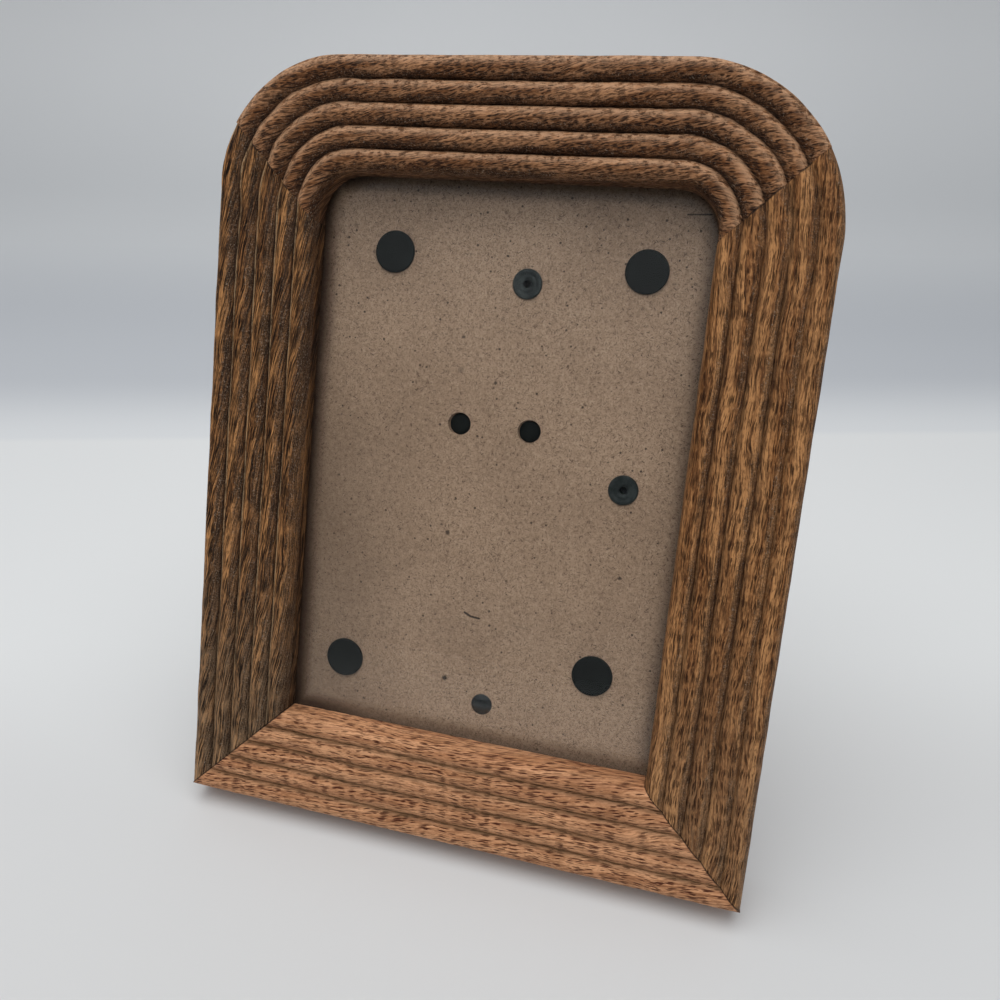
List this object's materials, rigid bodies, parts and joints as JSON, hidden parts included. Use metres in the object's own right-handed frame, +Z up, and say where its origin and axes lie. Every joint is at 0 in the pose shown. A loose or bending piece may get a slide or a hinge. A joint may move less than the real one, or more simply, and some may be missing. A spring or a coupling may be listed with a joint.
{
  "type": "tabletop picture frame",
  "caption": "Reeded wooden picture frame with rounded top corners, glass, a backing board held by turn tabs, hanging rings and a folding easel leg.",
  "frame": {"origin": "on the table, at the bottom centre of the standing frame's box", "axes": "+Z up, +X to the right of someone who looks at the picture, -Y towards that viewer; the frame leans back towards +Y onto its leg"},
  "size_m": [0.175, 0.0926, 0.2196],
  "materials": {
    "wood_top": "open-grained hardwood, thin worn oil finish, pinkish brown",
    "wood_left": "open-grained hardwood, thin worn oil finish, olive brown",
    "wood_right": "open-grained hardwood, thin worn oil finish, golden brown",
    "wood_bottom": "open-grained hardwood, thin worn oil finish, orange tan",
    "fibreboard": "raw fibreboard with fine dark fibres",
    "leg_board": "fibreboard with a matt black paper face",
    "glass": "clear polished glass",
    "black_steel": "black oxide steel, satin",
    "black_rivet": "matt black lacquered steel",
    "grey_rivet": "dark grey oxide steel, satin",
    "bright_steel": "zinc-plated steel",
    "ribbon": "black woven ribbon"
  },
  "bodies": {
    "frame": {"top_rail": "wood_top", "left_stile": "wood_left", "right_stile": "wood_right", "bottom_rail": "wood_bottom", "corner_nails": "bright_steel", "glass_pane": "glass", "backing_board": "fibreboard", "tab_rivets": "black_rivet", "hanger_strap_top": "black_steel", "hanger_strap_side": "black_steel", "hanger_rivets": "grey_rivet", "hinge_board_leaf": "black_steel", "hinge_pin": "bright_steel", "hinge_board_rivets": "black_rivet", "ribbon_board_rivet": "grey_rivet", "stay_ribbon": "ribbon"},
    "leg": {"strut_panel": "leg_board", "hinge_strut_leaf": "black_steel", "hinge_strut_rivets": "black_rivet", "ribbon_strut_rivet": "grey_rivet"},
    "tab_top_left": {"turn_tab_top_left": "black_steel"},
    "tab_top_right": {"turn_tab_top_right": "black_steel"},
    "tab_bottom_left": {"turn_tab_bottom_left": "black_steel"},
    "tab_bottom_right": {"turn_tab_bottom_right": "black_steel"},
    "ring_top": {"hanger_ring_top": "bright_steel"},
    "ring_side": {"hanger_ring_side": "bright_steel"}
  },
  "joints": [
    {"name": "leg_fold", "type": "hinge", "parent": "frame", "child": "leg", "pos_m": [0, 0.00813, 0.1126], "axis": [-1, 0, 0], "range_deg": [0, 32], "deforming": ["stay_ribbon"]},
    {"name": "tab_top_left_turn", "type": "hinge", "parent": "frame", "child": "tab_top_left", "pos_m": [-0.0351, 0.02544, 0.16703], "axis": [0, -0.9455, 0.3256], "range_deg": [0, 90]},
    {"name": "tab_top_right_turn", "type": "hinge", "parent": "frame", "child": "tab_top_right", "pos_m": [0.0392, 0.02508, 0.16598], "axis": [0, 0.9455, -0.3256], "range_deg": [0, 90]},
    {"name": "tab_bottom_left_turn", "type": "hinge", "parent": "frame", "child": "tab_bottom_left", "pos_m": [-0.0417, -0.01584, 0.04713], "axis": [0, 0.9455, -0.3256], "range_deg": [0, 90]},
    {"name": "tab_bottom_right_turn", "type": "hinge", "parent": "frame", "child": "tab_bottom_right", "pos_m": [0.0374, -0.01311, 0.05508], "axis": [0, -0.9455, 0.3256], "range_deg": [0, 90]},
    {"name": "ring_top_swing", "type": "hinge", "parent": "frame", "child": "ring_top", "pos_m": [0.0058, 0.02708, 0.16794], "axis": [1, 0, 0], "range_deg": [-12, 150]},
    {"name": "ring_side_swing", "type": "hinge", "parent": "frame", "child": "ring_side", "pos_m": [0.0479, 0.0064, 0.1079], "axis": [0, 0.3256, 0.9455], "range_deg": [-80, 80]}
  ]
}
